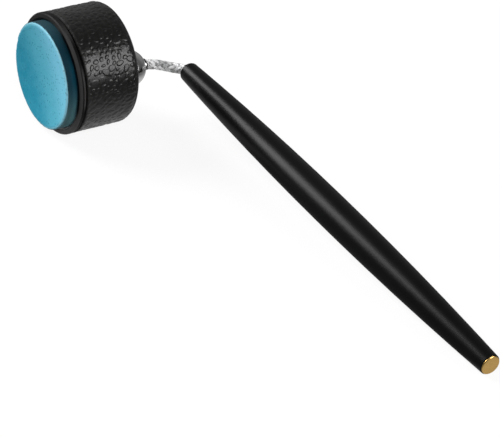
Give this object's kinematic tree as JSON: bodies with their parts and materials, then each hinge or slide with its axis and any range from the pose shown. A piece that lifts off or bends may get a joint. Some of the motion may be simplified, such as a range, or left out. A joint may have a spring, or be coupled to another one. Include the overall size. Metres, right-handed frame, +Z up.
{
  "type": "chalk holder",
  "caption": "Hand-held cue chalk holder: leather-wrapped round cup with chalk, held by a magnet on a steel ball, with a bendable braided cable and a tapered handle.",
  "frame": {"origin": "on the table, under the middle of the holder's bounding box", "axes": "+X along the handle from the cable to the butt, +Y along the cup's axis from the chalk to the magnet, +Z up"},
  "size_m": [0.1504, 0.0416, 0.0305],
  "materials": {
    "black_handle": "satin black anodised",
    "brass": "faced and lightly polished",
    "braided_steel": "bright fine wires, braided",
    "core_wire": "soft annealed wire",
    "chromed_steel": "mirror polished",
    "black_shell": "satin black anodised",
    "black_bezel": "satin black anodised",
    "black_leather": "glossy, coarse pebble grain",
    "plated_magnet": "nickel plated",
    "pad_rubber": "matte",
    "blue_chalk": "matte, pressed powder",
    "label_paper": "dark teal printed paper, no text"
  },
  "bodies": {
    "handle": {"handle_barrel": "black_handle", "butt_cap": "brass"},
    "cable": {"cable_braid": "braided_steel", "cable_core": "core_wire"},
    "ball": {"ball_end": "chromed_steel"},
    "cup": {"cup_shell": "black_shell", "front_bezel": "black_bezel", "leather_wrap": "black_leather", "back_magnet": "plated_magnet", "chalk_pad": "pad_rubber"},
    "chalk": {"chalk_cake": "blue_chalk", "chalk_label": "label_paper"}
  },
  "joints": [
    {"name": "cable_bend", "type": "hinge", "parent": "handle", "child": "cable", "pos_m": [-0.05463, 0.01644, 0.01181], "axis": [0.0719, 0, 0.9974], "range_deg": [-90, 7.5], "deforming": ["cable_braid", "cable_core"]},
    {"name": "cable_bend_at_ball", "type": "hinge", "parent": "cable", "child": "ball", "pos_m": [-0.05883, 0.01184, 0.01211], "axis": [0.0719, 0, 0.9974], "range_deg": [-90, 7.5], "deforming": ["cable_braid", "cable_core"]},
    {"name": "cup_swivel", "type": "hinge", "parent": "ball", "child": "cup", "pos_m": [-0.05934, 0.00306, 0.01215], "axis": [0, 0, 1], "range_deg": [-35, 35]},
    {"name": "chalk_slide", "type": "slide", "parent": "cup", "child": "chalk", "axis": [0, -1, 0], "range_m": [0, 0.015]}
  ],
  "couplings": [
    {"joint": "cable_bend_at_ball", "follows": "cable_bend", "ratio": 1}
  ]
}
